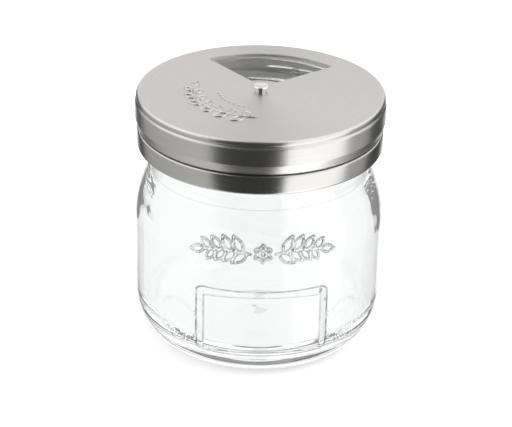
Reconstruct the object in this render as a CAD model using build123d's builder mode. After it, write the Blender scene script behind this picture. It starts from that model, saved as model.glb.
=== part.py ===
"""Shaker jar: a squat glass jar with a two-part stainless shaker lid.

Millimetres, +Z up. The origin is the middle of the jar's foot, on the surface it stands on.
The label pad faces -Y. Heights are measured up from the foot.
"""

import os
from math import asin, cos, pi, radians, sin

from build123d import *

# Glass jar
body_radius = 43.1
foot_radius = 30.5
heel_height = 17.5
shoulder_length = 20.1
neck_length = 24.1
neck_radius = 38.0
rim_height = 87.7
side_wall = 3.0
base_thickness = 6.5
inner_corner_radius = 11.0
rim_rounding = 0.9
punt_radius = 26.0
punt_depth = 1.6
mouth_radius = 34.8

# How far a cut or a limiting block runs past the face that it has to clear
cut_clearance = 1.0

# Label pad on the front of the glass
pad_width = 45.4
pad_top = 35.5
pad_bottom = 10.5
pad_face_radius = 69.0
pad_proud = 0.4
pad_corner_radius = 1.8
pad_max_step = 2.9

# Screw thread of the jar and of its lid
thread_lead = 5.0
glass_thread_depth = 1.6
glass_thread_root = 2.4
glass_thread_crest = 1.0
glass_thread_turns = 1.25
glass_thread_drop = 10.5
lid_thread_depth = 1.4
lid_thread_root = 1.8
lid_thread_crest = 0.8
lid_thread_turns = 1.1
lid_thread_start_turn = 0.21
flank_clearance = 0.3
thread_radial_clearance = 0.5
thread_bite = 0.3

# Sheet steel of both caps
sheet = 0.5
plate_gap = 0.05
seal_thickness = 1.6
seal_width = 4.0
seal_wall_gap = 0.8

# Screw cap: an inner wall that turns up at the bottom into the visible lower band
screw_cap_corner = 0.9
lower_band_out = 1.7
lower_band_height = 6.8
bottom_bend = 0.8
band_hem = 0.6
hem_bend = 0.4
lid_height = 19.3

# Rotating cap: radii to the middle of the sheet, drops below the middle of its plate
rotating_gap = 0.8
rim_out = 0.7
rim_corner = 0.85
rim_drop = 1.25
rim_bend = 0.4
cove_out = 0.3
cove_drop = 1.8
cove_bend = 0.5
rib_out = 1.0
rib_drop_top = 2.75
rib_drop_bottom = 8.35
rib_bend = 0.8
skirt_gap = 0.4
skirt_hem = 0.45
skirt_hem_bend = 0.35

# Window of the rotating cap and the four quadrants of the screw cap's plate
window_direction = 80.7
window_outer_radius = 33.6
window_inner_radius = 9.0
window_inset = 2.5
window_corner = 1.0
pour_margin = 0.3
large_hole = 2.0
large_pitch = 6.6
small_hole = 1.0
small_pitch = 4.1
hole_edge_margin = 1.2

# Pivot rivet and its washers
shank_radius = 1.55
shank_clearance = 0.05
collar_radius = 1.9
collar_height = 0.7
head_radius = 2.7
head_foot_radius = 2.25
head_height = 1.25
head_rounding = 0.35
tail_radius = 2.5
tail_height = 0.8
tail_rounding = 0.3
spring_radius = 5.0
spring_sheet = 0.4
spring_rise = 0.5
backing_radius = 3.4
backing_thickness = 0.6

# Worked out sizes
neck_base_height = rim_height - neck_length
shoulder_start_height = neck_base_height - shoulder_length
glass_thread_start = rim_height - glass_thread_drop
seal_top = rim_height + seal_thickness
plate_bottom = seal_top
plate_middle = plate_bottom + sheet / 2
plate_top = plate_bottom + sheet
cover_bottom = plate_top + plate_gap
cover_middle = cover_bottom + sheet / 2
cover_top = cover_bottom + sheet
glass_crest_radius = neck_radius + glass_thread_depth
lid_wall_inner = glass_crest_radius + thread_radial_clearance
lid_wall_middle = lid_wall_inner + sheet / 2
lid_wall_outer = lid_wall_inner + sheet
skirt_middle = lid_wall_outer + rotating_gap + sheet / 2
inner_radius = body_radius - side_wall
bore_radius = shank_radius + shank_clearance

os.makedirs("parts", exist_ok=True)


def quadrant_holes(direction, hole, pitch):
    """Centres of holes on arcs that fill the window's sector, turned to a direction."""
    inset = hole + hole_edge_margin
    ring = window_outer_radius - inset
    centres = []
    while ring > window_inner_radius + inset:
        half_room = pi / 4 - asin((window_inset + inset) / ring)
        steps = int(2 * half_room * ring / pitch)
        for i in range(steps + 1):
            share = 2 * i / steps - 1 if steps else 0
            angle = radians(direction) + half_room * share
            centres.append((ring * cos(angle), ring * sin(angle)))
        ring -= pitch
    return centres


def sector(direction, inner, outer, inset, corner):
    """A quarter of a ring about a direction, with its straight sides moved inwards by inset."""
    with BuildSketch(mode=Mode.PRIVATE) as shape:
        with Locations((inset, inset)):
            Rectangle(outer, outer, align=(Align.MIN, Align.MIN))
        Circle(outer, mode=Mode.INTERSECT)
        Circle(inner, mode=Mode.SUBTRACT)
        fillet(shape.vertices(), corner)
    return shape.sketch.rotate(Axis.Z, direction - 45)


def thread(radius, depth, root, crest, start_height, start_turn, turns, inward):
    """A helical ridge on a wall of the given radius, standing in the open part."""
    sign = -1 if inward else 1
    rise = thread_lead * turns
    helix = Edge.make_helix(thread_lead, rise, radius)
    place = Pos(0, 0, start_height) * Rot(0, 0, 360 * start_turn)
    path = place * helix
    start = path @ 0
    outward = Vector(start.X, start.Y, 0).normalized()
    frame = Plane(origin=start, x_dir=outward, z_dir=path % 0)
    with BuildSketch(frame) as profile:
        with BuildLine():
            Polyline(
                (-sign * thread_bite, -root / 2),
                (0, -root / 2),
                (sign * depth, -crest / 2),
                (sign * depth, crest / 2),
                (0, root / 2),
                (-sign * thread_bite, root / 2),
                close=True,
            )
        make_face()
    sweep(sections=profile.sketch, path=Wire([path]), is_frenet=True)


# Glass jar: heel, wall, shoulder and neck turned about the axis, hollow inside
inner_neck_height = neck_base_height + side_wall

with BuildPart() as glass_jar:
    with BuildSketch(Plane.XZ):
        with BuildLine():
            Polyline((0, punt_depth), (punt_radius - punt_depth, punt_depth), (punt_radius, 0),
                     (foot_radius, 0))
            EllipticalCenterArc((foot_radius, heel_height), body_radius - foot_radius,
                                heel_height, start_angle=-90, arc_size=90)
            Line((body_radius, heel_height), (body_radius, shoulder_start_height))
            TangentArc((body_radius, shoulder_start_height), (neck_radius, neck_base_height),
                       tangent=(0, 1))
            Polyline((neck_radius, neck_base_height), (neck_radius, rim_height),
                     (0, rim_height), (0, punt_depth))
        make_face()
    revolve(axis=Axis.Z)
    # The label pad: a block whose face is flatter than the body
    with BuildSketch(Plane.XZ):
        with Locations((0, (pad_top + pad_bottom) / 2)):
            RectangleRounded(pad_width, pad_top - pad_bottom, pad_corner_radius)
    pad = extrude(amount=body_radius + pad_proud, mode=Mode.PRIVATE)
    with BuildSketch(Plane.XY, mode=Mode.PRIVATE) as pad_face:
        with Locations((0, pad_face_radius - body_radius - pad_proud)):
            Circle(pad_face_radius)
    pad_limit = extrude(pad_face.sketch, amount=pad_top, mode=Mode.PRIVATE)
    limit_top = pad_top + cut_clearance
    with BuildSketch(Plane.XZ, mode=Mode.PRIVATE) as step_section:
        with BuildLine():
            Line((0, 0), (foot_radius + pad_max_step, 0))
            EllipticalCenterArc((foot_radius + pad_max_step, heel_height),
                                body_radius - foot_radius, heel_height,
                                start_angle=-90, arc_size=90)
            Polyline((body_radius + pad_max_step, heel_height),
                     (body_radius + pad_max_step, limit_top), (0, limit_top), (0, 0))
        make_face()
    step_limit = revolve(step_section.sketch, axis=Axis.Z, mode=Mode.PRIVATE)
    add(pad & pad_limit & step_limit)
    # The inside
    hollow_top = rim_height + cut_clearance
    with BuildSketch(Plane.XZ):
        with BuildLine():
            Line((0, base_thickness), (inner_radius - inner_corner_radius, base_thickness))
            CenterArc((inner_radius - inner_corner_radius, base_thickness + inner_corner_radius),
                      inner_corner_radius, -90, 90)
            Line((inner_radius, base_thickness + inner_corner_radius),
                 (inner_radius, shoulder_start_height))
            TangentArc((inner_radius, shoulder_start_height), (mouth_radius, inner_neck_height),
                       tangent=(0, 1))
            Polyline((mouth_radius, inner_neck_height), (mouth_radius, hollow_top),
                     (0, hollow_top), (0, base_thickness))
        make_face()
    revolve(axis=Axis.Z, mode=Mode.SUBTRACT)
    rim_edges = glass_jar.edges().filter_by(GeomType.CIRCLE).group_by(Axis.Z)[-1]
    fillet(rim_edges, rim_rounding)
    thread(neck_radius, glass_thread_depth, glass_thread_root, glass_thread_crest,
           glass_thread_start, 0, glass_thread_turns, inward=False)
glass_jar.part.label = "glass_jar"
export_step(glass_jar.part, "parts/glass_jar.step")

# Screw cap: plate, inner wall and lower band, all one sheet
bottom_middle = cover_top - lid_height + sheet / 2
band_top = cover_top - lid_height + lower_band_height
band_middle = lid_wall_middle + lower_band_out

with BuildPart() as screw_cap:
    with BuildSketch(Plane.XZ):
        with BuildLine():
            FilletPolyline(
                (0, plate_middle),
                (lid_wall_middle, plate_middle),
                (lid_wall_middle, bottom_middle),
                (band_middle, bottom_middle),
                (band_middle, band_top - sheet / 2),
                (band_middle - band_hem, band_top - sheet / 2),
                radius=[screw_cap_corner, bottom_bend, bottom_bend, hem_bend],
            )
        trace(line_width=sheet)
    revolve(axis=Axis.Z)
    with BuildSketch(Plane.XY.offset(plate_bottom)):
        add(sector(window_direction, window_inner_radius + pour_margin,
                   window_outer_radius - pour_margin, window_inset + pour_margin,
                   window_corner))
        Circle(bore_radius)
        with Locations(quadrant_holes(window_direction + 90, large_hole, large_pitch)):
            Circle(large_hole)
        with Locations(quadrant_holes(window_direction + 180, small_hole, small_pitch)):
            Circle(small_hole)
    extrude(amount=sheet, mode=Mode.SUBTRACT)
    lid_thread_drop = ((glass_thread_root + lid_thread_root) / 2
                       - (glass_thread_root - glass_thread_crest) / 2
                       + flank_clearance)
    lid_thread_height = (glass_thread_start + thread_lead * lid_thread_start_turn
                         - lid_thread_drop)
    thread(lid_wall_inner, lid_thread_depth, lid_thread_root, lid_thread_crest,
           lid_thread_height, lid_thread_start_turn, lid_thread_turns, inward=True)
screw_cap.part.label = "screw_cap"
export_step(screw_cap.part, "parts/screw_cap.step")

# Rotating cap: flat brushed plate with the window, rounded rim, cove and upper rib
skirt_bottom = band_top + skirt_gap + sheet / 2
with BuildPart() as rotating_cap:
    with BuildSketch(Plane.XZ):
        with BuildLine():
            FilletPolyline(
                (0, cover_middle),
                (skirt_middle + rim_out, cover_middle),
                (skirt_middle + rim_out, cover_middle - rim_drop),
                (skirt_middle + cove_out, cover_middle - cove_drop),
                (skirt_middle + rib_out, cover_middle - rib_drop_top),
                (skirt_middle + rib_out, cover_middle - rib_drop_bottom),
                (skirt_middle, skirt_bottom),
                (skirt_middle - skirt_hem, skirt_bottom),
                radius=[rim_corner, rim_bend, cove_bend, rib_bend, rib_bend, skirt_hem_bend],
            )
        trace(line_width=sheet)
    revolve(axis=Axis.Z)
    with BuildSketch(Plane.XY.offset(cover_bottom)):
        add(sector(window_direction, window_inner_radius, window_outer_radius, window_inset,
                   window_corner))
        Circle(bore_radius)
    extrude(amount=sheet, mode=Mode.SUBTRACT)
rotating_cap.part.label = "rotating_cap"
export_step(rotating_cap.part, "parts/rotating_cap.step")

# Pivot rivet: head and collar above the plates, shank through them, peened tail below
spring_height = spring_sheet + spring_rise
tail_top = plate_bottom - spring_height - backing_thickness
collar_top = cover_top + collar_height
with BuildPart() as pivot_rivet:
    with BuildSketch(Plane.XZ):
        with BuildLine():
            Polyline(
                (0, tail_top - tail_height),
                (tail_radius, tail_top - tail_height),
                (tail_radius, tail_top),
                (shank_radius, tail_top),
                (shank_radius, cover_top),
                (collar_radius, cover_top),
                (collar_radius, collar_top),
                (head_foot_radius, collar_top),
                (head_radius, collar_top + head_height / 2),
                (head_radius, collar_top + head_height),
                (0, collar_top + head_height),
                close=True,
            )
        make_face()
    revolve(axis=Axis.Z)
    head_edges = pivot_rivet.edges().filter_by(GeomType.CIRCLE).group_by(Axis.Z)
    fillet(head_edges[-1], head_rounding)
    tail_edges = pivot_rivet.edges().filter_by(GeomType.CIRCLE).group_by(Axis.Z)
    fillet(tail_edges[0], tail_rounding)
pivot_rivet.part.label = "pivot_rivet"
export_step(pivot_rivet.part, "parts/pivot_rivet.step")

# Conical spring washer: its wide edge bears on the plate, its bore edge on the flat washer
with BuildPart() as spring_washer:
    with BuildSketch(Plane.XZ):
        with BuildLine():
            Polyline(
                (bore_radius, plate_bottom - spring_height),
                (bore_radius, plate_bottom - spring_height + spring_sheet),
                (spring_radius, plate_bottom),
                (spring_radius, plate_bottom - spring_sheet),
                close=True,
            )
        make_face()
    revolve(axis=Axis.Z)
spring_washer.part.label = "spring_washer"
export_step(spring_washer.part, "parts/spring_washer.step")

with BuildPart() as backing_washer:
    with BuildSketch(Plane.XY.offset(tail_top)):
        Circle(backing_radius)
        Circle(bore_radius, mode=Mode.SUBTRACT)
    extrude(amount=backing_thickness)
backing_washer.part.label = "backing_washer"
export_step(backing_washer.part, "parts/backing_washer.step")

# Seal ring between the glass rim and the plate
seal_outer = lid_wall_inner - seal_wall_gap
with BuildPart() as seal_ring:
    with BuildSketch(Plane.XY.offset(rim_height)):
        Circle(seal_outer)
        Circle(seal_outer - seal_width, mode=Mode.SUBTRACT)
    extrude(amount=seal_thickness)
seal_ring.part.label = "seal_ring"
export_step(seal_ring.part, "parts/seal_ring.step")
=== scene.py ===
"""Shaker jar: clear pressed glass with a brushed stainless shaker lid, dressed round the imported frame.

Lengths are metres in the part's own frame: +Z up, the label pad towards -Y, the foot at Z 0.
"""

from math import acos, asin, atan2, cos, pi, radians, sin, tan

import bmesh
import bpy
import numpy as np
from bpy.props import FloatProperty, FloatVectorProperty, PointerProperty
from bpy.types import Operator, Panel, PropertyGroup
from mathutils import Matrix, Vector
from mathutils.geometry import delaunay_2d_cdt


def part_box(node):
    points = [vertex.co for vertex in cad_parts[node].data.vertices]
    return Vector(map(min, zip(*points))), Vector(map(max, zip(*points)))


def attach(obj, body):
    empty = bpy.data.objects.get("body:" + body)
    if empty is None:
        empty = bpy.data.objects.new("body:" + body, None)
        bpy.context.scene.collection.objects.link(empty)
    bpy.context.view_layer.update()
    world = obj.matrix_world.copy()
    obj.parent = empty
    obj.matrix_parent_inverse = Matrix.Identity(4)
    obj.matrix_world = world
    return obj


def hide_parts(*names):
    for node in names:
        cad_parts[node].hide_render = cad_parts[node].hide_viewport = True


bl_info = {
    "name": "Shaker jar",
    "version": (1, 0, 0),
    "blender": (4, 5, 0),
    "location": "View3D > Sidebar > Shaker jar",
    "description": "Builds a glass jar with a twist-open stainless shaker lid",
    "category": "Add Mesh",
}

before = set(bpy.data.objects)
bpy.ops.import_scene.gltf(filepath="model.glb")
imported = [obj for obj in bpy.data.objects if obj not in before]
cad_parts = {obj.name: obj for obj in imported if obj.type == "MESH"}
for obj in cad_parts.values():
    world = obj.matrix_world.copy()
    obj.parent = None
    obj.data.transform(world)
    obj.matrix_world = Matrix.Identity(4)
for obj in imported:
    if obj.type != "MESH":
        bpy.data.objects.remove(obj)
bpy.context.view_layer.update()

MM = 0.001
JAR_LOW, JAR_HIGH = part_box("glass_jar")
COVER_LOW, COVER_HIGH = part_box("rotating_cap")
CAP_LOW, CAP_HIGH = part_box("screw_cap")
SEAL_LOW, SEAL_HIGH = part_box("seal_ring")
RIVET_LOW, RIVET_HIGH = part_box("pivot_rivet")
SPRING_LOW, SPRING_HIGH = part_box("spring_washer")
WASHER_LOW, WASHER_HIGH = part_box("backing_washer")

# Glass jar
FOOT_RADIUS = 30.5 * MM
HEEL_HEIGHT = 17.5 * MM
NECK_RADIUS = 38.0 * MM
NECK_BASE = JAR_HIGH.z - 24.1 * MM
SHOULDER_START = NECK_BASE - 20.1 * MM
SIDE_WALL = 3.0 * MM
BASE_THICKNESS = 6.5 * MM
INNER_CORNER = 11.0 * MM
PUNT_RADIUS = 26.0 * MM
PUNT_DEPTH = 1.6 * MM
MOUTH_RADIUS = 34.8 * MM
RIM_ROUNDING = 0.9 * MM
LIP_DEPTH = 4 * MM

# Where the glass's points lie, and how far apart between each two stops: degrees round from the
# middle of the pad, mm up the outside, and mm down the inside from the lip
FAN_STOPS = (-180, -68, -32.2, -24.6, 24.6, 32.2, 68, 180)
FAN_SPACINGS = (3.4, 0.55, 0.22, 0.38, 0.22, 0.55, 3.4)
UP_STOPS = (0, 2, 9.6, 13.2, 32.8, 36.2, 42, 58.4, 63.2, 64, 74, 85.6, 86.8)
UP_SPACINGS = (0.4, 0.75, 0.25, 0.62, 0.22, 0.8, 0.29, 0.9, 0.1, 1.7, 0.42, 0.6)
DOWN_STOPS = (0, 17, 22, 48, 66, 78)
DOWN_SPACINGS = (2.4, 1.2, 1.6, 2.6, 1.7)

# Label pad
PAD_HALF_WIDTH = 23.4 * MM
PAD_TOP = 35.5 * MM
PAD_BOTTOM = 10.5 * MM
PAD_FACE_RADIUS = 69.0 * MM
PAD_CORNER = 1.8 * MM
PAD_STEP = 2.9 * MM
PAD_DRAFT = 2.0 * MM
PAD_SIDE_DRAFT = 3.7 * MM

# Moulded ornament of the glass: half a sprig above the pad, a flower, and a ring of ticks each side
MOULDED_LINE = 0.36 * MM
MOULDED_SPRIG = {"start": np.array((4.2, 49.6)) * MM, "length": 16.2 * MM, "pairs": 4,
                 "leaf_length": 6.6 * MM, "leaf_width": 3.0 * MM, "rise": 1.0 * MM}
FLOWER = {"centre": np.array((0, 49.8)) * MM, "petals": 6, "radius": 3.0 * MM}
TICKS = 36
TICK_ARC = 31.0 * MM
TICK_HEIGHT = 20.0 * MM
TICK_RING = 7.5 * MM
INNER_RING = 5.0 * MM

# Screw thread
LEAD = 5.0 * MM
GLASS_THREAD = {"depth": 1.6 * MM, "root": 2.4 * MM, "crest": 1.0 * MM, "turns": 1.25,
                "start": JAR_HIGH.z - 10.5 * MM, "run_out": 0.04}
LID_THREAD = {"depth": 1.4 * MM, "root": 1.8 * MM, "crest": 0.8 * MM, "turns": 1.1,
              "start_turn": 0.21, "drop": 1.7 * MM, "run_out": 0.03, "sunk": 0.2 * MM}

# Sheet steel; walls are counted to the middle of the sheet
SHEET = 0.5 * MM
THREAD_ROOM = 0.75 * MM
SKIRT_ROOM = 0.8 * MM
LID_WALL = NECK_RADIUS + GLASS_THREAD["depth"] + THREAD_ROOM
BAND_WALL = CAP_HIGH.x - SHEET / 2
SKIRT_WALL = LID_WALL + SHEET / 2 + SKIRT_ROOM + SHEET / 2
BAND_GAP = 0.4 * MM
BAND_CURL = 0.6 * MM
PLATE_MARGIN = 1.0 * MM

# Outer cap: its rim, cove and rib by distance out from the skirt's wall and down from the plate,
# and how far its lower edge curls in
RIM_OUT, RIM_DOWN = 0.7 * MM, 1.25 * MM
COVE_OUT, COVE_DOWN = 0.3 * MM, 1.8 * MM
RIB_OUT, RIB_DOWN, RIB_END = 1.0 * MM, 2.75 * MM, 8.35 * MM
CAP_CURL = 0.45 * MM

# Window and shaker holes
WINDOW_DIRECTION = radians(80.7)
WINDOW_INNER = 9.0 * MM
WINDOW_OUTER = 33.6 * MM
WINDOW_INSET = 2.5 * MM
WINDOW_CORNER = 1.0 * MM
WINDOW_CENTRE = 22.0 * MM
POUR_MARGIN = 0.3 * MM
LARGE_HOLE = 2.0 * MM
LARGE_PITCH = 6.6 * MM
SMALL_HOLE = 1.0 * MM
SMALL_PITCH = 4.1 * MM
HOLE_EDGE = 1.2 * MM

# Mesh of the window: points along its outer and inner arcs, and of the plate round it: shares of
# the way from the window to the edge, and the least turn between two rays
FAR_POINTS = 25
NEAR_POINTS = 7
RAY_SHARES = np.array((0, 0.01, 0.12, 0.3, 0.55, 0.8, 1.0))
RAY_GAP = radians(0.03)

# Pressed ornament of the lid: a sprig bent along an arc, a row of dots inside it by degrees, and
# how deep both are rooted in the plate
PRESSED_SPRIG = {"start": np.array((0.0, 0.0)), "length": 38 * MM, "pairs": 6,
                 "leaf_length": 6.2 * MM, "leaf_width": 3.0 * MM, "rise": 0.0}
SPRIG_RING = 23.0 * MM
SPRIG_TURN = radians(266)
PRESSED_LINE = 0.72 * MM
DOTS = 8
DOT_RING = 14.5 * MM
DOT_RADIUS = 0.62 * MM
DOT_TURN, DOT_STEP = 188, 8.2
PRESSED_ROOT = 0.3 * SHEET

# Rivet, washers and seal
SHANK_RADIUS = 1.55 * MM
COLLAR_RADIUS = 1.9 * MM
COLLAR_HEIGHT = 0.7 * MM
TAIL_RADIUS = 2.5 * MM
HEAD_FOOT = 2.25 * MM
HEAD_EDGE = 1.325 * MM
WASHER_BORE = 1.6 * MM
SPRING_SHEET = 0.4 * MM
WASHER_ROUNDING = 0.08 * MM
SEAL_WIDTH = 4.0 * MM
SEAL_ROUNDING = 0.3 * MM

# The photograph's camera
CAMERA_LENS = 140.6
SENSOR_WIDTH = 36
CAMERA_AZIMUTH = radians(-2.3)
CAMERA_DISTANCE = 0.628
CAMERA_HEIGHT = 0.357
AIM_HEIGHT = 0.0435
AIM_SIDE = -0.0009
CAMERA_ROLL = radians(1.1)

# Levels of the studio, where white is 1: the brightest card, the paper under the jar against it,
# straight below, all round for diffuse light, and how far glass sees the room softened
CARD_GAIN = 1.55
PAPER_GAIN = 1.45
BELOW_LEVEL = 0.9
DIFFUSE_LEVEL = 0.85
SOFTENING = 0.12

# Paper floor: its grey, how much the camera sees it lifted, its level through glass, how far below
# the foot it lies, and the radii of its mesh
PAPER_GREY = 0.82
PAPER_LIFT = 0.42
PAPER_THROUGH_GLASS = 0.97
FLOOR_DROP = 0.2 * MM
FLOOR_RINGS = (0.0, 0.05, 0.3, 1.2)

# Greys of the room by the way a ray leaves in: degrees from straight ahead, and level
CARD_STOPS = ((-180, 0.72), (-163, 0.72), (-157, 0.03), (-139, 0.04), (-134, 0.3), (-52, 0.4),
              (-47, 0.3), (-43, 0.03), (19, 0.03), (23, 1.0), (80, 1.0), (84, 0.32), (112, 0.3),
              (116, 0.04), (149, 0.04), (155, 0.72), (180, 0.72))
CEILING_STOPS = ((-180, 0.53), (-168, 0.57), (-146, 0.84), (-110, 0.98), (-70, 0.9), (-46, 0.45),
                 (-38, 0.05), (20, 0.05), (30, 0.85), (110, 0.98), (146, 0.84), (168, 0.57),
                 (180, 0.53))

# Soft boxes: name, place and power, all of one size and turned to one point
LAMPS = (("key_box", (0.55, -0.25, 0.75), 4.5), ("fill_box", (-0.6, -0.5, 0.5), 2.5))
LAMP_SIZE = 0.7
LAMP_TARGET = (0, 0, 0.05)

# Finishes; mill is the unbrushed inside of the screw cap, rougher, with its colour painted shade
# Painted glow: the strength of the light that the glass emits of its own
GLASS_PAINTED_GLOW = 0.012
MILL_SHADE_COLOUR = "#c6c5bc"
MILL_ROUGHNESS = 0.55
RIVET_COLOUR = "#efedea"


def linear(hex_colour):
    """An sRGB hex colour as linear red, green and blue."""
    parts = [int(hex_colour[i:i + 2], 16) / 255 for i in (1, 3, 5)]
    return tuple(p / 12.92 if p <= 0.04045 else ((p + 0.055) / 1.055) ** 2.4 for p in parts)


def length_value(name, description, default, low=0.0):
    """A length that a user may change."""
    return FloatProperty(name=name, description=description, default=default, min=low,
                         subtype="DISTANCE")


def colour_value(name, description, hex_colour):
    """A colour that a user may change."""
    return FloatVectorProperty(name=name, description=description, default=linear(hex_colour),
                               min=0, max=1, subtype="COLOR")


class JarSizes(PropertyGroup):
    """Sizes of the glass jar that a user may change."""

    body_radius: length_value("Body radius", "Outside radius of the glass body", JAR_HIGH.x, 0.02)
    relief: length_value("Relief height", "How far the moulded ornament stands out", 0.38 * MM)
    ripple: length_value("Inner ripple", "Waviness of the inner wall of pressed glass", 0.07 * MM)


class LidSizes(PropertyGroup):
    """Sizes of the stainless lid that a user may change."""

    emboss: length_value("Emboss height", "How far the pressed ornament stands up", 0.38 * MM)
    brush_line: length_value("Brush line", "Spacing of the brushing marks", 0.24 * MM, 0.00005)


class FinishColours(PropertyGroup):
    """Colours of the finishes, and of the painted edge shade of the glass, that a user may change."""

    glass: colour_value("Glass", "Tint of the clear glass", "#fdfefe")
    # Painted shade: the grey that is painted along the glass's tight moulded edges
    glass_painted_edge_shade: colour_value("Glass edges", "Tint of the tight moulded edges", "#3d4344")
    brushed: colour_value("Brushed steel", "Colour of the outer cap", "#d6d5d3")
    pressed: colour_value("Pressed steel", "Colour of the screw cap", "#d0cfcc")
    seal: colour_value("Seal", "Colour of the silicone ring", "#e6e6e1")


def rounded_path(points, radii, arc_steps=8, closed=False):
    """Straight runs joined at their inner corners by arcs of the given radii, as an array."""
    points = [np.array(p, float) for p in points]
    if closed:
        befores, corners, afters = [points[-1]] + points[:-1], points, points[1:] + [points[0]]
        path = []
    else:
        befores, corners, afters = points[:-2], points[1:-1], points[2:]
        path = [points[0]]
    for before, corner, after, radius in zip(befores, corners, afters, radii):
        if radius == 0:
            path.append(corner)
            continue
        back = (before - corner) / np.linalg.norm(before - corner)
        on = (after - corner) / np.linalg.norm(after - corner)
        half = acos(np.clip(back @ on, -1, 1)) / 2
        centre = corner + (back + on) / np.linalg.norm(back + on) * radius / sin(half)
        first = corner + back * radius / tan(half) - centre
        last = corner + on * radius / tan(half) - centre
        start = atan2(first[1], first[0])
        turn = (atan2(last[1], last[0]) - start + pi) % (2 * pi) - pi
        for angle in start + turn * np.linspace(0, 1, arc_steps + 1):
            path.append(centre + radius * np.array((cos(angle), sin(angle))))
    if not closed:
        path.append(points[-1])
    return np.array(path)


def unit_rows(vectors):
    """Each row divided by its own length."""
    return vectors / np.linalg.norm(vectors, axis=1)[:, None]


def full_turn(steps):
    """Angles of equal steps round a full turn, without the last."""
    return np.linspace(0, 2 * pi, steps, endpoint=False)


def directions(angles):
    """Unit vectors at the given angles, one in each row."""
    return np.column_stack((np.cos(angles), np.sin(angles)))


def bearings(vectors):
    """The angle of each row's direction."""
    return np.arctan2(vectors[:, 1], vectors[:, 0])


def sheet_sides(path, thickness):
    """The left and right sides of a sheet of that thickness along a middle line.

    Each point moves at right angles to the mean of the runs before and after it.
    """
    runs = unit_rows(np.diff(path, axis=0))
    along = unit_rows(np.vstack((runs, runs[-1:])) + np.vstack((runs[:1], runs)))
    across = np.column_stack((-along[:, 1], along[:, 0]))
    return path + across * thickness / 2, path - across * thickness / 2


def grid_faces(rows, columns, close_rows=False, close_columns=True):
    """Quads of a grid of points, with either way round closed or left open."""
    r = np.arange(rows if close_rows else rows - 1)
    c = np.arange(columns if close_columns else columns - 1)
    r0, c0 = np.meshgrid(r, c, indexing="ij")
    r1, c1 = (r0 + 1) % rows, (c0 + 1) % columns
    quads = np.stack((r0 * columns + c0, r0 * columns + c1, r1 * columns + c1, r1 * columns + c0), -1)
    return quads.reshape(-1, 4).tolist()


def turned(profile, angles):
    """Points of a profile of (radius, height) carried round the Z axis."""
    profile = np.asarray(profile)
    r, z = profile[:, 0, None], profile[:, 1, None]
    return np.stack((r * np.cos(angles), r * np.sin(angles), z + 0 * angles), -1)


def make_object(name, patches, sharp_angle=radians(32), edge=None):
    """One closed mesh object from patches of (points, faces), with doubles merged.

    Where it is given, edge holds a value from 0 to 1 for each point, kept as an attribute: how strongly the
    glass paints shade there.
    """
    vertices, faces, start = [], [], 0
    for points, quads in patches:
        points = np.asarray(points).reshape(-1, 3)
        vertices.append(points)
        faces.extend([[corner + start for corner in face] for face in quads])
        start += len(points)
    mesh = bpy.data.meshes.new(name)
    mesh.from_pydata(np.vstack(vertices).tolist(), [], faces)
    if edge is not None:
        mesh.attributes.new("edge", "FLOAT", "POINT").data.foreach_set("value", np.ravel(edge))
    work = bmesh.new()
    work.from_mesh(mesh)
    bmesh.ops.remove_doubles(work, verts=work.verts, dist=2e-7)
    bmesh.ops.recalc_face_normals(work, faces=work.faces)
    work.to_mesh(mesh)
    work.free()
    mesh.shade_smooth()
    mesh.set_sharp_from_angle(angle=sharp_angle)
    obj = bpy.data.objects.new(name, mesh)
    bpy.context.scene.collection.objects.link(obj)
    return obj


def turned_object(name, profile, steps, closed=False):
    """An object that is one profile carried round the Z axis in that many steps."""
    points = turned(profile, full_turn(steps))
    return make_object(name, [(points, grid_faces(len(profile), steps, closed))])


def finish_piece(obj, material, body, slot_name, *nodes):
    """Gives a piece its material and body, and hides the CAD nodes that it stands for; slot_name is not
    used.
    """
    obj.data.materials.append(material)
    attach(obj, body)
    if nodes:
        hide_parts(*nodes)
    return obj


def grey(level):
    """An opaque grey."""
    return (level, level, level, 1)


def empty_tree(owner):
    """The cleared node tree of a material or a world."""
    owner.use_nodes = True
    owner.node_tree.nodes.clear()
    return owner.node_tree


def plug(tree, node, inputs):
    """Sets or links inputs of a node, given as (name or index, value or socket) pairs."""
    for key, value in inputs:
        if isinstance(value, bpy.types.NodeSocket):
            tree.links.new(value, node.inputs[key])
        else:
            node.inputs[key].default_value = value


def add_node(tree, kind, inputs=(), **settings):
    """A shader node with its settings and its inputs."""
    made = tree.nodes.new(kind)
    for key, value in settings.items():
        setattr(made, key, value)
    plug(tree, made, inputs)
    return made


def arithmetic(tree, operation, first, second):
    """What a math node makes of two values or sockets."""
    return add_node(tree, "ShaderNodeMath", [(0, first), (1, second)], operation=operation).outputs[0]


def ranged(tree, value, low, high, to_low=0.0, to_high=1.0, curve="LINEAR"):
    """A value carried over from one range to another and held at its ends."""
    return add_node(tree, "ShaderNodeMapRange", [
        ("Value", value), ("From Min", low), ("From Max", high), ("To Min", to_low),
        ("To Max", to_high)], interpolation_type=curve).outputs[0]


def blend(tree, share, first, second, data_type="RGBA", **settings):
    """Two colours or values mixed: the first at a share of 0 and the second at 1."""
    return add_node(tree, "ShaderNodeMix", [("Factor", share), ("A", first), ("B", second)],
                    data_type=data_type, **settings).outputs["Result"]


def noise(tree, place, scale, detail, roughness=0.5):
    """Soft noise from 0 to 1."""
    return add_node(tree, "ShaderNodeTexNoise", [("Vector", place), ("Scale", scale),
                                                 ("Detail", detail), ("Roughness", roughness)]).outputs[0]


def new_material(name):
    """An empty node material with its output and a Principled shader."""
    material = bpy.data.materials.new(name)
    tree = empty_tree(material)
    shader = add_node(tree, "ShaderNodeBsdfPrincipled")
    add_node(tree, "ShaderNodeOutputMaterial", [("Surface", shader.outputs[0])])
    return material, tree, shader


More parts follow.
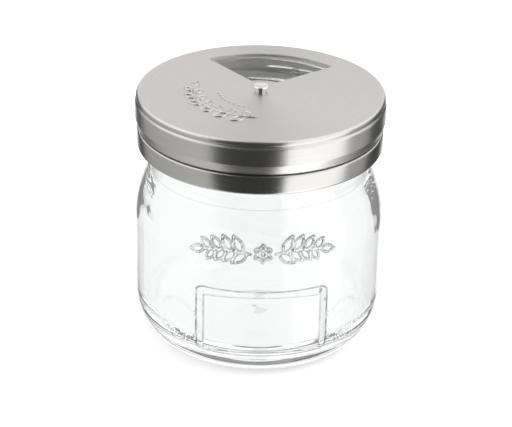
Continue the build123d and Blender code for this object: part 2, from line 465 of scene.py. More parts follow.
def fire_polished_glass(colours):
    """Pressed soda-lime glass, fire polished: clear, with painted shade along its tight moulded edges and a
    faint painted glow.
    """
    material, tree, shader = new_material("fire_polished_soda_lime_glass")
    place = add_node(tree, "ShaderNodeTexCoord").outputs["Object"]
    # The skin of pressed glass is very slightly uneven, at a scale of about 12 mm
    bump = add_node(tree, "ShaderNodeBump", [("Height", noise(tree, place, 85.0, 1.0)),
                                             ("Strength", 0.12), ("Distance", 0.0006)])
    # Painted shade: the colour turns grey along the tight moulded edges, where they turn the light away,
    # broken along their length
    moulded = add_node(tree, "ShaderNodeAttribute", attribute_name="edge").outputs["Fac"]
    weight = ranged(tree, noise(tree, place, 320.0, 2.0), 0.3, 0.55, 0.5, 1.0)
    tint = blend(tree, arithmetic(tree, "MULTIPLY", moulded, weight), (*colours.glass, 1),
                 (*colours.glass_painted_edge_shade, 1))
    # Painted glow: the glass emits a little light of its own, standing in for light led along inside the
    # wall and scattered at its skin
    plug(tree, shader, [("Base Color", tint), ("Transmission Weight", 1.0), ("Roughness", 0.0),
                        ("IOR", 1.5), ("Emission Color", grey(1)), ("Emission Strength", GLASS_PAINTED_GLOW),
                        ("Normal", bump.outputs[0])])
    return material


def steel(name, colour, roughness, anisotropy, line, mark_depth, rough_shaded_inside=0.0):
    """Stainless sheet brushed while it turns: fine rings round the axis, a little darker in the marks.

    The marks follow radius minus height, so that they run on from the flat top down the skirt.
    Within the radius given for the inside, the sheet is as it left the mill: rougher, and painted in one
    darker grey as shade.
    """
    material, tree, shader = new_material(name)
    place = add_node(tree, "ShaderNodeTexCoord").outputs["Object"]
    x, y, z = add_node(tree, "ShaderNodeSeparateXYZ", [(0, place)]).outputs
    flat = add_node(tree, "ShaderNodeCombineXYZ", [(0, x), (1, y)])
    radius = add_node(tree, "ShaderNodeVectorMath", [(0, flat.outputs[0])],
                      operation="LENGTH").outputs["Value"]
    # The noise changes fast across the rings and slowly along them
    across = arithmetic(tree, "MULTIPLY", arithmetic(tree, "SUBTRACT", radius, z), 1.0 / line)
    along = arithmetic(tree, "MULTIPLY", arithmetic(tree, "ARCTAN2", y, x), 1.3)
    ring_place = add_node(tree, "ShaderNodeCombineXYZ", [(0, across), (1, along)])
    marks = noise(tree, ring_place.outputs[0], 1.0, 4.0, 0.7)
    shade = ranged(tree, marks, 0.25, 0.75, 1 - mark_depth, 1.0)
    brushed = blend(tree, 1.0, (*colour, 1), shade, blend_type="MULTIPLY")
    # Painted shade: inside that radius the colour turns to the mill grey, darker than the brushed steel
    outside = ranged(tree, radius, rough_shaded_inside, rough_shaded_inside + 0.2 * MM)
    tint = blend(tree, outside, (*linear(MILL_SHADE_COLOUR), 1), brushed)
    rough = ranged(tree, marks, 0.2, 0.8, roughness * 0.85, roughness * 1.15)
    rough = blend(tree, outside, MILL_ROUGHNESS, rough, data_type="FLOAT")
    bump = add_node(tree, "ShaderNodeBump", [("Height", marks), ("Strength", 0.25),
                                             ("Distance", 0.00001)])
    # The tangent runs round the axis, along the brushing
    tangent = add_node(tree, "ShaderNodeVectorMath", [(0, (0, 0, 1)), (1, place)],
                       operation="CROSS_PRODUCT")
    unit = add_node(tree, "ShaderNodeVectorMath", [(0, tangent.outputs[0])], operation="NORMALIZE")
    # It is rotated by a quarter turn, because light spreads across the brushing
    plug(tree, shader, [("Metallic", 1.0), ("Anisotropic", anisotropy), ("Anisotropic Rotation", 0.25),
                        ("Base Color", tint), ("Roughness", rough), ("Normal", bump.outputs[0]),
                        ("Tangent", unit.outputs[0])])
    return material


def milky_silicone(colours):
    """Moulded translucent silicone: a soft sheen and a slightly cloudy body."""
    material, tree, shader = new_material("milky_silicone")
    place = add_node(tree, "ShaderNodeTexCoord").outputs["Object"]
    shade = ranged(tree, noise(tree, place, 260.0, 3.0), 0.0, 1.0, 0.93, 1.0)
    tint = blend(tree, 1.0, (*colours.seal, 1), shade, blend_type="MULTIPLY")
    plug(tree, shader, [("Base Color", tint), ("Roughness", 0.42), ("Subsurface Weight", 0.2),
                        ("Subsurface Scale", 0.001)])
    return material


def leaf(base, direction, length, width, steps=9):
    """Both sides of a pointed leaf from its base to its tip, bulging by a skewed half sine wave."""
    t = np.linspace(0, 1, steps)
    bulge = width / 2 * np.sin(pi * t ** 0.85)
    along, side = np.array((cos(direction), sin(direction))), np.array((-sin(direction), cos(direction)))
    upper = base + np.outer(t * length, along) + np.outer(bulge, side)
    lower = base + np.outer(t * length, along) - np.outer(bulge, side)
    return [upper, lower]


def sprig(start, length, pairs, leaf_length, leaf_width, rise):
    """A stem with leaves on both sides and one at its end, growing along +X from start.

    The stem rises by half a sine wave, and its leaves grow smaller towards the end.
    """
    t = np.linspace(0, 1, 24)
    stem = np.column_stack((start[0] + t * length, start[1] + rise * np.sin(pi * t)))
    strokes = [stem]
    for i in range(pairs):
        share = (i + 0.55) / (pairs + 0.35)
        x, y = start[0] + share * length, start[1] + rise * sin(pi * share)
        lean = atan2(rise * pi * cos(pi * share), length)
        size = leaf_length * (1 - 0.35 * share)
        for side in (1, -1):
            offset = 0.35 * length / (pairs * 2) * side
            strokes += leaf(np.array((x + offset, y)), lean + side * radians(48), size,
                            leaf_width * (1 - 0.25 * share))
    strokes += leaf(stem[-1], atan2(-rise * pi, length), leaf_length * 0.8, leaf_width * 0.8)
    return strokes


def mirrored(strokes):
    """The same strokes turned over left to right."""
    return [s * np.array((-1, 1)) for s in strokes]


def flower(centre, petals, radius):
    """A ring of petals round a small circle."""
    t = np.linspace(0, 2 * pi, 17)
    strokes = [centre + radius * 0.32 * directions(t)]
    for k in range(petals):
        direction = 2 * pi * k / petals + pi / 2
        root = centre + radius * 0.42 * np.array((cos(direction), sin(direction)))
        strokes += leaf(root, direction, radius * 0.62, radius * 0.5)
    return strokes


def distance_to_strokes(x, y, strokes):
    """Distance of each point to the nearest stroke, a run of straight pieces."""
    nearest = np.full(x.shape, np.inf)
    for stroke in strokes:
        for a, b in zip(stroke[:-1], stroke[1:]):
            run = b - a
            along = ((x - a[0]) * run[0] + (y - a[1]) * run[1]) / max(run @ run, 1e-18)
            along = np.clip(along, 0, 1)
            gap = np.hypot(x - a[0] - along * run[0], y - a[1] - along * run[1])
            nearest = np.minimum(nearest, gap)
    return nearest


def smooth_step(value, low, high):
    """0 below low, 1 above high and an S curve between."""
    t = np.clip((value - low) / (high - low), 0, 1)
    return t * t * (3 - 2 * t)


def spaced(stops, spacings):
    """Numbers from the first stop to the last, spaced by a value of its own between each two."""
    parts = []
    for low, high, step in zip(stops[:-1], stops[1:], spacings):
        count = max(1, int(round((high - low) / step)))
        parts.append(np.linspace(low, high, count, endpoint=False))
    return np.concatenate(parts + [np.array([stops[-1]])])


def shoulder_radius(z, wide, narrow, rise):
    """Radius of a shoulder that leaves the wall upright and climbs by rise: a circle's arc."""
    step = wide - narrow
    arc = (step ** 2 + rise ** 2) / (2 * step)
    climb = np.clip(z - SHOULDER_START, 0, rise)
    return wide - arc + np.sqrt(arc ** 2 - climb ** 2)


def jar_outer_radius(z, body_radius):
    """Radius of the glass outside at a height: elliptical heel, wall, circular shoulder, neck."""
    heel = np.sqrt(np.clip(1 - ((HEEL_HEIGHT - z) / HEEL_HEIGHT) ** 2, 0, 1))
    radius = np.where(z < HEEL_HEIGHT, FOOT_RADIUS + (body_radius - FOOT_RADIUS) * heel, body_radius)
    shoulder = shoulder_radius(z, body_radius, NECK_RADIUS, NECK_BASE - SHOULDER_START)
    radius = np.where(z > SHOULDER_START, shoulder, radius)
    return np.where(z > NECK_BASE, NECK_RADIUS, radius)


def run_out(turn, turns, length):
    """1 along a thread and down to 0 at both ends of its turns, by an S curve of that length."""
    return smooth_step(turn, 0, length) * (1 - smooth_step(turn, turns - length, turns))


def thread_height(angle, z):
    """How far the glass thread stands out at an angle and a height: the highest of its laps there.

    A lap is a ridge with straight flanks that climbs by the lead in a turn.
    """
    height = np.zeros(np.broadcast(angle, z).shape)
    half_root, half_crest = GLASS_THREAD["root"] / 2, GLASS_THREAD["crest"] / 2
    for lap in range(3):
        turn = (angle % (2 * pi)) / (2 * pi) + lap
        middle = GLASS_THREAD["start"] + LEAD * turn
        ridge = np.clip((half_root - np.abs(z - middle)) / (half_root - half_crest), 0, 1)
        ends = run_out(turn, GLASS_THREAD["turns"], GLASS_THREAD["run_out"])
        height = np.maximum(height, ridge * ends * GLASS_THREAD["depth"])
    return height


def pad_inset(x, z):
    """Distance inside the pad's rounded outline, negative outside it.

    Across the pad it is counted in shares of the gentler draft that its sides have.
    """
    middle, half_height = (PAD_TOP + PAD_BOTTOM) / 2, (PAD_TOP - PAD_BOTTOM) / 2
    dx = (np.abs(x) - PAD_HALF_WIDTH) * PAD_DRAFT / PAD_SIDE_DRAFT + PAD_CORNER
    dz = np.abs(z - middle) - (half_height - PAD_CORNER)
    outside = np.hypot(np.maximum(dx, 0), np.maximum(dz, 0)) + np.minimum(np.maximum(dx, dz), 0)
    return PAD_CORNER - outside


def pad_share(inset):
    """1 on the label pad, 0 off it, with a draft between that is part straight and part S curve."""
    ramp = np.clip(inset / PAD_DRAFT, 0, 1)
    return 0.6 * ramp + 0.4 * smooth_step(ramp, 0, 1)


def line_at(distance, half_width):
    """1 on a line, 0 off it: full over three tenths of its half width, then down by an S curve."""
    return 1 - smooth_step(np.abs(distance), half_width * 0.3, half_width)


def jar_relief(arc, z, height):
    """Raised ornament of the glass by distance round and up: sprigs with a flower, rings of ticks."""
    half = sprig(**MOULDED_SPRIG)
    strokes = half + mirrored(half) + flower(**FLOWER)
    relief = np.zeros(arc.shape)
    # Only points close to the sprigs are measured against their strokes
    near = (np.abs(arc) < 28 * MM) & (z > 40 * MM) & (z < 61 * MM)
    gap = distance_to_strokes(arc[near], z[near], strokes)
    relief[near] = height * (1 - smooth_step(gap, MOULDED_LINE * 0.35, MOULDED_LINE * 1.35))
    for side in (-1, 1):
        dx, dz = arc - side * TICK_ARC, z - TICK_HEIGHT
        ring = np.hypot(dx, dz)
        tick = np.abs((np.arctan2(dz, dx) / (2 * pi) * TICKS) % 1 - 0.5)
        outer = 1 - smooth_step(np.abs(ring - TICK_RING), 0.9 * MM, 1.3 * MM)
        outer = outer * (1 - smooth_step(tick, 0.1, 0.32))
        inner = 1 - smooth_step(np.abs(ring - INNER_RING), 0.25 * MM, 0.65 * MM)
        relief = np.maximum(relief, 0.5 * height * np.maximum(outer, 0.6 * inner))
    return relief


class SHAKERJAR_OT_glass_jar(Operator):
    """Build the pressed glass jar with its pad, ornament, neck thread and thick base"""

    bl_idname = "shakerjar.glass_jar"
    bl_label = "Glass jar"

    def execute(self, context):
        sizes, colours = context.scene.shaker_jar_sizes, context.scene.shaker_jar_colours
        # Angles are counted from the middle of the pad, closest together over the front
        fan = np.radians(spaced(FAN_STOPS, FAN_SPACINGS)[:-1])
        around = fan - pi / 2
        outside, edge = self.outside(sizes, fan)
        inside = self.inside(sizes, around)
        # The punt under the foot is a shallow dome
        span = np.linspace(0, 1, 16)
        dome = np.column_stack((PUNT_RADIUS * span, PUNT_DEPTH / 2 * (1 + np.cos(pi * span))))
        below = turned(dome, around)
        points = np.concatenate((below, outside, inside))
        edge = np.concatenate((np.zeros(below.shape[:2]), edge, np.zeros(inside.shape[:2])))
        jar = make_object("jar_glass", [(points, grid_faces(len(points), len(fan)))], radians(60), edge)
        finish_piece(jar, fire_polished_glass(colours), "jar", "clear_glass", "glass_jar")
        return {"FINISHED"}

    def outside(self, sizes, fan):
        """Points of the outside with its pad, ornament and thread, and how much painted edge shade each has.
        """
        up = spaced(np.array(UP_STOPS) * MM, np.array(UP_SPACINGS) * MM)
        z, angle = np.meshgrid(up, fan, indexing="ij")
        plain = jar_outer_radius(z, sizes.body_radius)
        # The pad's flatter face: how far out it lies from the jar's axis, each way round
        centre = PAD_FACE_RADIUS + JAR_LOW.y
        face = -centre * np.cos(angle) + np.sqrt(PAD_FACE_RADIUS ** 2 - (centre * np.sin(angle)) ** 2)
        face = np.minimum(face, plain + PAD_STEP)
        front = np.abs(angle) < radians(60)
        inset = np.where(front, pad_inset(face * np.sin(angle), z), -PAD_DRAFT * 2)
        share = pad_share(inset)
        relief = jar_relief(angle * sizes.body_radius, z, sizes.relief)
        radius = plain + np.maximum(face - plain, 0) * share + relief * (1 - share)
        # Painted shade: edge is how grey the glass is painted along steep relief, the pad's outlines and the
        # neck crease
        steep = np.hypot(np.gradient(relief, up, axis=0),
                         np.gradient(relief, fan * sizes.body_radius, axis=1))
        edge = np.maximum(smooth_step(steep, 0.12, 0.6),
                          np.maximum(line_at(inset, 0.35 * MM),
                                     0.7 * line_at(inset - PAD_DRAFT, 0.3 * MM)))
        edge = np.maximum(edge, 0.3 * line_at(z - NECK_BASE, 0.3 * MM))
        radius = radius + thread_height(angle - pi / 2, z)
        return np.stack((radius * np.sin(angle), -radius * np.cos(angle), z), -1), edge

    def inside(self, sizes, around):
        """Points of the rim and the inside: neck, shoulder, wall, rounded corner and flat base."""
        rim = JAR_HIGH.z
        lip = rounded_path([(NECK_RADIUS, rim - 0.92 * MM), (NECK_RADIUS, rim), (MOUTH_RADIUS, rim),
                            (MOUTH_RADIUS, rim - LIP_DEPTH)], [RIM_ROUNDING, RIM_ROUNDING], 5)
        wall = sizes.body_radius - SIDE_WALL
        z = rim - LIP_DEPTH - spaced(np.array(DOWN_STOPS) * MM, np.array(DOWN_SPACINGS) * MM)
        z = z[z > BASE_THICKNESS + INNER_CORNER]
        rise = NECK_BASE + SIDE_WALL - SHOULDER_START
        radius = np.where(z > SHOULDER_START + rise, MOUTH_RADIUS,
                          shoulder_radius(z, wall, MOUTH_RADIUS, rise))
        corner = [(wall - INNER_CORNER * (1 - cos(a)), BASE_THICKNESS + INNER_CORNER * (1 - sin(a)))
                  for a in np.linspace(0, pi / 2, 12)]
        floor = [(r, BASE_THICKNESS) for r in np.linspace(wall - INNER_CORNER, 0, 7)[1:]]
        profile = np.vstack((lip, np.column_stack((radius, z))[1:], corner, floor))
        points = turned(profile, around)
        # Pressed glass is never quite even inside: slow waves both ways, strongest in the shoulder
        height = profile[:, 1, None]
        wave = np.sin(3 * around + 60 * height) + 0.6 * np.sin(7 * around - 190 * height + 1.0)
        shoulder = line_at(height - (SHOULDER_START + NECK_BASE) / 2, 20 * MM)
        wave = wave + 1.6 * shoulder * np.sin(11 * around + 520 * height) * np.sin(6 * around - 330 * height)
        depth = sizes.ripple * wave * (np.arange(len(profile)) > len(lip))[:, None]
        points[..., 0] += depth * np.cos(around)
        points[..., 1] += depth * np.sin(around)
        return points


def sector_outline(inner, outer, inset, corner):
    """Rounded quarter sector about the window's direction, as a closed run of points.

    Its straight sides lie inset from the quarter's own, so their angles close in by the arcsine of
    the inset over the radius.
    """
    reach = [asin(inset / outer), asin(inset / inner)]
    far = np.linspace(-pi / 4 + reach[0], pi / 4 - reach[0], FAR_POINTS)
    near = np.linspace(pi / 4 - reach[1], -pi / 4 + reach[1], NEAR_POINTS)
    angles = np.concatenate((far, near)) + WINDOW_DIRECTION
    radii = np.concatenate((np.full(FAR_POINTS, outer), np.full(NEAR_POINTS, inner)))
    corners = (0, FAR_POINTS - 1, FAR_POINTS, FAR_POINTS + NEAR_POINTS - 1)
    roundings = [corner if i in corners else 0 for i in range(len(angles))]
    return rounded_path(radii[:, None] * directions(angles), roundings, 6, closed=True)


class SHAKERJAR_OT_rotating_cap(Operator):
    """Build the brushed outer cap with its window, rounded rim, cove, rib and pressed ornament"""

    bl_idname = "shakerjar.rotating_cap"
    bl_label = "Rotating cap"

    def execute(self, context):
        sizes, colours = context.scene.shaker_lid_sizes, context.scene.shaker_jar_colours
        top = COVER_HIGH.z
        middle, low = top - SHEET / 2, COVER_LOW.z + SHEET / 2
        path = rounded_path([
            (SKIRT_WALL - PLATE_MARGIN, middle),
            (SKIRT_WALL + RIM_OUT, middle),
            (SKIRT_WALL + RIM_OUT, middle - RIM_DOWN),
            (SKIRT_WALL + COVE_OUT, middle - COVE_DOWN),
            (SKIRT_WALL + RIB_OUT, middle - RIB_DOWN),
            (SKIRT_WALL + RIB_OUT, middle - RIB_END),
            (SKIRT_WALL, low),
            (SKIRT_WALL - CAP_CURL, low),
        ], np.array((0.85, 0.4, 0.5, 0.8, 0.8, 0.35)) * MM, 7)
        outer, inner = sheet_sides(path, SHEET)
        plate = self.plate(outer[0, 0])
        around = bearings(plate[-1])
        over = np.concatenate((plate, np.full(plate.shape[:2] + (1,), top)), -1)
        below = np.concatenate((plate[::-1], np.full(plate.shape[:2] + (1,), top - SHEET)), -1)
        points = np.concatenate((over, turned(outer[1:], around), turned(inner[:0:-1], around), below))
        cap = make_object("brushed_cap", [(points, grid_faces(len(points), len(around), True))]
                          + self.ornament(sizes.emboss, top))
        material = steel("circular_brushed_stainless", colours.brushed, 0.3, 0.85,
                         sizes.brush_line, 0.14)
        finish_piece(cap, material, "shaker_top", "brushed_steel", "rotating_cap")
        return {"FINISHED"}

    def plate(self, edge):
        """Points of the plate on rays from a point inside the window, from its outline to the edge.

        There is a ray to each corner of the outline and to each of 256 points of the round edge.
        """
        centre = WINDOW_CENTRE * np.array((cos(WINDOW_DIRECTION), sin(WINDOW_DIRECTION)))
        outline = sector_outline(WINDOW_INNER, WINDOW_OUTER, WINDOW_INSET, WINDOW_CORNER)
        target = edge * directions(full_turn(256)) - centre
        rays = np.sort(np.concatenate((bearings(target), bearings(outline - centre))))
        rays = rays[np.concatenate(([True], np.diff(rays) > RAY_GAP))]
        dense = np.linspace(0, 1, 40, endpoint=False)
        following = np.roll(outline, -1, axis=0)
        fine = (outline[:, None] + (following - outline)[:, None] * dense[None, :, None]).reshape(-1, 2)
        fine = fine - centre
        fine = fine[np.argsort(bearings(fine))]
        near = np.interp(rays, bearings(fine), np.hypot(fine[:, 0], fine[:, 1]), period=2 * pi)
        unit = directions(rays)
        along = unit @ centre
        far = -along + np.sqrt(along ** 2 + edge ** 2 - centre @ centre)
        reaches = near + (far - near) * RAY_SHARES[:, None]
        return centre + reaches[..., None] * unit

    def ornament(self, height, top):
        """A leafy sprig bent along an arc of the plate, and a row of dots inside it."""
        patches = []
        for stroke in sprig(**PRESSED_SPRIG):
            ring = SPRIG_RING + stroke[:, 1]
            bent = ring[:, None] * directions(SPRIG_TURN - stroke[:, 0] / SPRIG_RING)
            patches.append(raised_line(bent, PRESSED_LINE, height, top))
        for k in range(DOTS):
            turn = radians(DOT_TURN + DOT_STEP * k)
            spot = DOT_RING * np.array((cos(turn), sin(turn)))
            patches.append(raised_dot(spot, DOT_RADIUS, height, top))
        return patches


def raised_line(path, width, height, top):
    """A low rounded ridge along a path on the plate, running out to a point at both ends."""
    runs = unit_rows(np.gradient(path, axis=0))
    side = np.column_stack((-runs[:, 1], runs[:, 0]))
    length = np.concatenate(([0], np.cumsum(np.linalg.norm(np.diff(path, axis=0), axis=1))))
    taper = np.sqrt(np.clip(np.minimum(length, length[-1] - length) / (width * 0.8), 0, 1))
    angles = full_turn(10)
    across = np.cos(angles)[:, None, None] * side * (taper * width / 2)[:, None]
    lift = np.where(np.sin(angles) > 0, np.sin(angles) * height, np.sin(angles) * PRESSED_ROOT)
    flat = path + across
    up = top + lift[:, None] * taper
    points = np.concatenate((flat, up[..., None]), -1)
    return points, grid_faces(len(angles), len(path), True, False)


def raised_dot(spot, radius, height, top):
    """A small dome on the plate."""
    t = np.linspace(0, pi / 2, 6)
    profile = np.column_stack((radius * np.cos(t), top + height * np.sin(t)))
    profile = np.vstack(((0, top - PRESSED_ROOT), (radius, top - PRESSED_ROOT), profile))
    points = turned(profile, full_turn(20))
    points[..., 0] += spot[0]
    points[..., 1] += spot[1]
    return points, grid_faces(len(profile), 20)


def quadrant_holes(direction, hole, pitch):
    """Centres of holes on arcs that fill the window's sector, turned to a direction."""
    inset = hole + HOLE_EDGE
    ring = WINDOW_OUTER - inset
    centres = []
    while ring > WINDOW_INNER + inset:
        half_room = pi / 4 - asin((WINDOW_INSET + inset) / ring)
        steps = int(2 * half_room * ring / pitch)
        for i in range(steps + 1):
            share = 2 * i / steps - 1 if steps else 0
            turn = direction + half_room * share
            centres.append((ring * cos(turn), ring * sin(turn)))
        ring -= pitch
    return centres


class SHAKERJAR_OT_screw_cap(Operator):
    """Build the fixed screw cap: perforated plate, threaded wall and the visible lower band"""

    bl_idname = "shakerjar.screw_cap"
    bl_label = "Screw cap"

    def execute(self, context):
        colours = context.scene.shaker_jar_colours
        top = CAP_HIGH.z
        middle, low = top - SHEET / 2, CAP_LOW.z + SHEET / 2
        band_top = COVER_LOW.z - BAND_GAP - SHEET / 2
        path = rounded_path([
            (LID_WALL - PLATE_MARGIN, middle),
            (LID_WALL, middle),
            (LID_WALL, low),
            (BAND_WALL, low),
            (BAND_WALL, band_top),
            (BAND_WALL - BAND_CURL, band_top),
        ], np.array((0.9, 0.8, 0.8, 0.4)) * MM, 7)
        outer, inner = sheet_sides(path, SHEET)
        around = full_turn(288)
        loop = np.vstack((outer, inner[::-1]))
        skirt = (turned(loop, around), grid_faces(len(loop), len(around)))
        patches = [skirt] + self.plate(outer[0, 0], around, top) + [self.thread()]
        cap = make_object("pressed_screw_cap", patches)
        # Within the band's curl the cap is rougher and painted in shade, in the mill grey
        material = steel("satin_pressed_stainless", colours.pressed, 0.26, 0.85, 0.3 * MM, 0.1,
                         BAND_WALL - BAND_CURL)
        finish_piece(cap, material, "screw_lid", "plain_steel", "screw_cap")
        return {"FINISHED"}

    def plate(self, edge, around, top):
        """Both faces of the plate between its round edge and the holes, and the holes' walls."""
        pour = sector_outline(WINDOW_INNER + POUR_MARGIN, WINDOW_OUTER - POUR_MARGIN,
                              WINDOW_INSET + POUR_MARGIN, WINDOW_CORNER)
        ring = directions(full_turn(24))
        loops = [edge * directions(around), pour]
        for turn, hole, pitch in ((pi / 2, LARGE_HOLE, LARGE_PITCH), (pi, SMALL_HOLE, SMALL_PITCH)):
            for spot in quadrant_holes(WINDOW_DIRECTION + turn, hole, pitch):
                loops.append(np.array(spot) + hole * ring)
        starts = np.cumsum([0] + [len(loop) for loop in loops])
        flat = np.vstack(loops)
        edges = [(starts[k] + i, starts[k] + (i + 1) % len(loop))
                 for k, loop in enumerate(loops) for i in range(len(loop))]
        corners, _, triangles, _, _, _ = delaunay_2d_cdt([Vector(p) for p in flat * 1000],
                                                        [tuple(map(int, e)) for e in edges], [], 1, 1e-6)
        corners = np.array([tuple(c) for c in corners]) / 1000
        kept = [t for t in triangles if not self.in_hole(corners[list(t)].mean(0), loops[1:])]

        def both_faces(flat):
            """Flat points at the height of the plate's top, and again at its underside."""
            return [np.column_stack((flat, np.full(len(flat), h))) for h in (top, top - SHEET)]

        high, low = both_faces(corners)
        patches = [(high, kept), (low, [tuple(reversed(t)) for t in kept])]
        return patches + [(both_faces(loop), grid_faces(2, len(loop))) for loop in loops[1:]]

    def in_hole(self, point, holes):
        """Whether a point lies inside one of the closed outlines, by counting crossings."""
        for hole in holes:
            a, b = hole, np.roll(hole, -1, axis=0)
            spans = (a[:, 1] > point[1]) != (b[:, 1] > point[1])
            slope = np.where(spans, (b[:, 1] - a[:, 1]), 1)
            cross = a[:, 0] + (point[1] - a[:, 1]) * (b[:, 0] - a[:, 0]) / slope
            if np.count_nonzero(spans & (cross > point[0])) % 2:
                return True
        return False

    def thread(self):
        """The lid's thread: a ridge inside the wall, carried up a helix and run out at its ends."""
        turns = np.linspace(0, LID_THREAD["turns"], 160) + LID_THREAD["start_turn"]
        middle = GLASS_THREAD["start"] + LEAD * turns - LID_THREAD["drop"]
        span = turns - turns[0]
        taper = run_out(span, span[-1], LID_THREAD["run_out"])
        root, crest = LID_THREAD["root"] / 2, LID_THREAD["crest"] / 2
        sunk, depth = LID_THREAD["sunk"], LID_THREAD["depth"]
        section = np.array(((sunk, -root), (0, -root), (-depth, -crest), (-depth, crest), (0, root),
                            (sunk, root)))
        inward = np.where(section[:, :1] < 0, section[:, :1] * taper, section[:, :1])
        radius = LID_WALL - SHEET / 2 + inward
        height = middle + section[:, 1:] * (0.3 + 0.7 * taper)
        angle = 2 * pi * turns
        points = np.stack((radius * np.cos(angle), radius * np.sin(angle), height), -1)
        rows, count = len(section), len(turns)
        ends = [[row * count + column for row in range(rows)] for column in (0, count - 1)]
        return points, grid_faces(rows, count, True, False) + ends


class SHAKERJAR_OT_pivot(Operator):
    """Build the pivot rivet, its spring washer and its flat washer"""

    bl_idname = "shakerjar.pivot"
    bl_label = "Pivot"

    def execute(self, context):
        colours = context.scene.shaker_jar_colours
        head, tail_top, top = RIVET_HIGH.x, WASHER_LOW.z, COVER_HIGH.z
        low, high, collar_top = RIVET_LOW.z, RIVET_HIGH.z, COVER_HIGH.z + COLLAR_HEIGHT
        profile = rounded_path([
            (0, low), (TAIL_RADIUS, low), (TAIL_RADIUS, tail_top), (SHANK_RADIUS, tail_top),
            (SHANK_RADIUS, top), (COLLAR_RADIUS, top), (COLLAR_RADIUS, collar_top),
            (HEAD_FOOT, collar_top), (head, top + HEAD_EDGE), (head, high), (0, high),
        ], np.array((0.3, 0.05, 0, 0, 0.05, 0.1, 0.12, 0.2, 0.35)) * MM, 6)
        rivet = turned_object("rivet", profile, 64)
        finish_piece(rivet, steel("turned_stainless", linear(RIVET_COLOUR), 0.12, 0.3, 0.2 * MM, 0.08),
                     "screw_lid", "rivet_steel", "pivot_rivet")
        washer_steel = steel("plain_stainless", colours.pressed, 0.32, 0.3, 0.3 * MM, 0.15)
        cone = [(WASHER_BORE, SPRING_LOW.z), (WASHER_BORE, SPRING_LOW.z + SPRING_SHEET),
                (SPRING_HIGH.x, SPRING_HIGH.z), (SPRING_HIGH.x, SPRING_HIGH.z - SPRING_SHEET)]
        flat = [(WASHER_BORE, WASHER_LOW.z), (WASHER_BORE, WASHER_HIGH.z),
                (WASHER_HIGH.x, WASHER_HIGH.z), (WASHER_HIGH.x, WASHER_LOW.z)]
        for name, corners, node in (("cone_washer", cone, "spring_washer"),
                                    ("flat_washer", flat, "backing_washer")):
            outline = rounded_path(corners, [WASHER_ROUNDING] * 4, 3, closed=True)
            ring = turned_object(name, outline, 64, True)
            finish_piece(ring, washer_steel, "screw_lid", "washer_steel", node)
        return {"FINISHED"}


class SHAKERJAR_OT_seal_ring(Operator):
    """Build the flat silicone ring between the glass rim and the plate"""

    bl_idname = "shakerjar.seal_ring"
    bl_label = "Seal ring"

    def execute(self, context):
        outside, inside = SEAL_HIGH.x, SEAL_HIGH.x - SEAL_WIDTH
        outline = rounded_path([(inside, SEAL_LOW.z), (inside, SEAL_HIGH.z), (outside, SEAL_HIGH.z),
                                (outside, SEAL_LOW.z)], [SEAL_ROUNDING] * 4, 5, closed=True)
        ring = turned_object("silicone_ring", outline, 192, True)
        finish_piece(ring, milky_silicone(context.scene.shaker_jar_colours), "seal", "seal_rubber",
                     "seal_ring")
        return {"FINISHED"}


def grey_ramp(tree, share, stops):
    """A ramp of greys round the room, with stops of (degrees from -180 to 180, level)."""
    ramp = add_node(tree, "ShaderNodeValToRGB", [(0, share)])
    elements = ramp.color_ramp.elements
    while len(elements) < len(stops):
        elements.new(0.5)
    for element, (degrees, level) in zip(elements, stops):
        element.position = (degrees + 180) / 360
        element.color = grey(level)
    return ramp.outputs[0]


def studio_world(scene):
    """White for the camera, plain light for diffuse rays, and light and dark cards round the set.

    Polished steel and glass see the cards by the direction that a ray leaves in: the dark room in
    front, a bright card on the right, grey walls, and the white sweep behind.
    """
    world = bpy.data.worlds.new("studio")
    scene.world = world
    tree = empty_tree(world)
    way = add_node(tree, "ShaderNodeTexCoord").outputs["Generated"]
    x, y, z = add_node(tree, "ShaderNodeSeparateXYZ", [(0, way)]).outputs
    turn = arithmetic(tree, "ARCTAN2", x, arithmetic(tree, "MULTIPLY", y, -1.0))
    share = ranged(tree, turn, -pi, pi)
    # Overhead it is bright everywhere but in front, over the camera
    cards, ceiling = grey_ramp(tree, share, CARD_STOPS), grey_ramp(tree, share, CEILING_STOPS)
    upper = blend(tree, ranged(tree, z, 0.12, 0.46, curve="SMOOTHSTEP"), cards, ceiling)
    # The paper close to the jar is brighter than the cards that stand round it
    gain = arithmetic(tree, "MULTIPLY", ranged(tree, z, -0.6, -0.8, 1.0, PAPER_GAIN), CARD_GAIN)
    near = add_node(tree, "ShaderNodeVectorMath", [(0, upper), ("Scale", gain)], operation="SCALE")
    room = blend(tree, ranged(tree, z, -0.94, -0.99), near.outputs[0], grey(BELOW_LEVEL))
    path = add_node(tree, "ShaderNodeLightPath").outputs
    # Glass sees the same room, softened
    glass = blend(tree, path["Is Transmission Ray"], room, blend(tree, SOFTENING, room, grey(1)))
    diffuse = blend(tree, path["Is Diffuse Ray"], glass, grey(DIFFUSE_LEVEL))
    seen = blend(tree, path["Is Camera Ray"], diffuse, grey(1))
    light = add_node(tree, "ShaderNodeBackground", [("Color", seen)])
    add_node(tree, "ShaderNodeOutputWorld", [("Surface", light.outputs[0])])


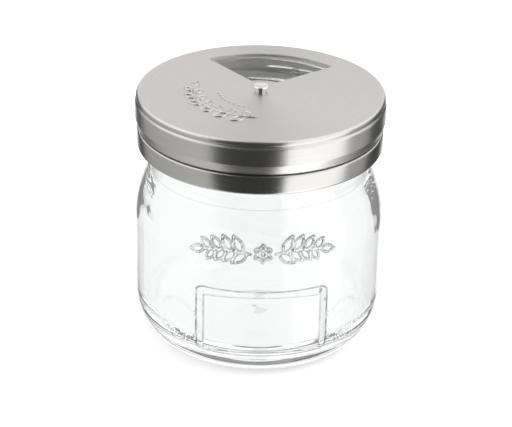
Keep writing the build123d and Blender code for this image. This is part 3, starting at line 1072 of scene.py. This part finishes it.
def pale_floor_material():
    """Matt white paper: shaded by the lamps, and lifted to white where it is seen directly."""
    material = bpy.data.materials.new("matt_white_paper")
    tree = empty_tree(material)
    paper = add_node(tree, "ShaderNodeBsdfDiffuse", [("Color", grey(PAPER_GREY))])
    path = add_node(tree, "ShaderNodeLightPath").outputs
    lift = arithmetic(tree, "MULTIPLY", path["Is Camera Ray"], PAPER_LIFT)
    glow = add_node(tree, "ShaderNodeEmission", [("Strength", lift)])
    both = add_node(tree, "ShaderNodeAddShader", [(0, paper.outputs[0]), (1, glow.outputs[0])])
    # Clear glass passes the light on, so the paper seen through it has no shadow
    lit = add_node(tree, "ShaderNodeEmission", [("Strength", PAPER_THROUGH_GLASS)])
    seen = add_node(tree, "ShaderNodeMixShader", [(0, path["Is Transmission Ray"]),
                                                  (1, both.outputs[0]), (2, lit.outputs[0])])
    add_node(tree, "ShaderNodeOutputMaterial", [("Surface", seen.outputs[0])])
    return material


def soft_lamp(name, place, power):
    """A square soft box turned to the jar, unseen by reflections and through glass."""
    lamp = bpy.data.lights.new(name, "AREA")
    lamp.size, lamp.energy = LAMP_SIZE, power
    obj = bpy.data.objects.new(name, lamp)
    obj.location = place
    obj.rotation_euler = (Vector(LAMP_TARGET) - Vector(place)).to_track_quat("-Z", "Y").to_euler()
    obj.visible_glossy = False
    obj.visible_transmission = False
    bpy.context.scene.collection.objects.link(obj)


class SHAKERJAR_OT_stage(Operator):
    """Build the pale floor, the soft studio light and the camera"""

    bl_idname = "shakerjar.stage"
    bl_label = "Stage"

    def execute(self, context):
        scene = context.scene
        scene.view_settings.view_transform = "Standard"
        # Light is led a long way inside the glass wall before it comes out
        scene.cycles.max_bounces = 32
        scene.cycles.glossy_bounces = 24
        scene.cycles.transmission_bounces = 24
        studio_world(scene)
        floor = turned_object("floor", [(r, -FLOOR_DROP) for r in FLOOR_RINGS], 64)
        floor.data.materials.append(pale_floor_material())
        floor.visible_glossy = False
        for name, place, power in LAMPS:
            soft_lamp(name, place, power)
        camera = bpy.data.objects.new("camera", bpy.data.cameras.new("camera"))
        camera.data.lens = CAMERA_LENS
        camera.data.sensor_width = SENSOR_WIDTH
        camera.data.clip_start = 0.02
        right = Vector((cos(CAMERA_AZIMUTH), sin(CAMERA_AZIMUTH), 0))
        away = Vector((sin(CAMERA_AZIMUTH), -cos(CAMERA_AZIMUTH), 0))
        eye = away * CAMERA_DISTANCE + Vector((0, 0, CAMERA_HEIGHT)) + right * AIM_SIDE
        target = Vector((0, 0, AIM_HEIGHT)) + right * AIM_SIDE
        look = (target - eye).to_track_quat("-Z", "Y").to_matrix().to_4x4()
        camera.matrix_world = Matrix.Translation(eye) @ look @ Matrix.Rotation(CAMERA_ROLL, 4, "Z")
        scene.collection.objects.link(camera)
        scene.camera = camera
        return {"FINISHED"}


class SHAKERJAR_PT_panel(Panel):
    """The pieces of the shaker jar, each with a button, and the values that shape them"""

    bl_label = "Shaker jar"
    bl_space_type = "VIEW_3D"
    bl_region_type = "UI"
    bl_category = "Shaker jar"

    def draw(self, context):
        scene = context.scene
        for group in (scene.shaker_jar_sizes, scene.shaker_lid_sizes, scene.shaker_jar_colours):
            for key in group.__annotations__:
                self.layout.prop(group, key)
        for operator in OPERATORS:
            self.layout.operator(operator.bl_idname)


GROUPS = {"shaker_jar_sizes": JarSizes, "shaker_lid_sizes": LidSizes,
          "shaker_jar_colours": FinishColours}
OPERATORS = (SHAKERJAR_OT_glass_jar, SHAKERJAR_OT_screw_cap, SHAKERJAR_OT_rotating_cap,
             SHAKERJAR_OT_pivot, SHAKERJAR_OT_seal_ring, SHAKERJAR_OT_stage)


def register():
    for name, group in GROUPS.items():
        bpy.utils.register_class(group)
        setattr(bpy.types.Scene, name, PointerProperty(type=group))
    for kind in OPERATORS + (SHAKERJAR_PT_panel,):
        bpy.utils.register_class(kind)


def unregister():
    for kind in (SHAKERJAR_PT_panel,) + OPERATORS[::-1]:
        bpy.utils.unregister_class(kind)
    for name, group in GROUPS.items():
        delattr(bpy.types.Scene, name)
        bpy.utils.unregister_class(group)


def main():
    """Builds every piece in order."""
    register()
    bpy.ops.shakerjar.glass_jar()
    bpy.ops.shakerjar.screw_cap()
    bpy.ops.shakerjar.rotating_cap()
    bpy.ops.shakerjar.pivot()
    bpy.ops.shakerjar.seal_ring()
    bpy.ops.shakerjar.stage()


if __name__ == "__main__":
    main()
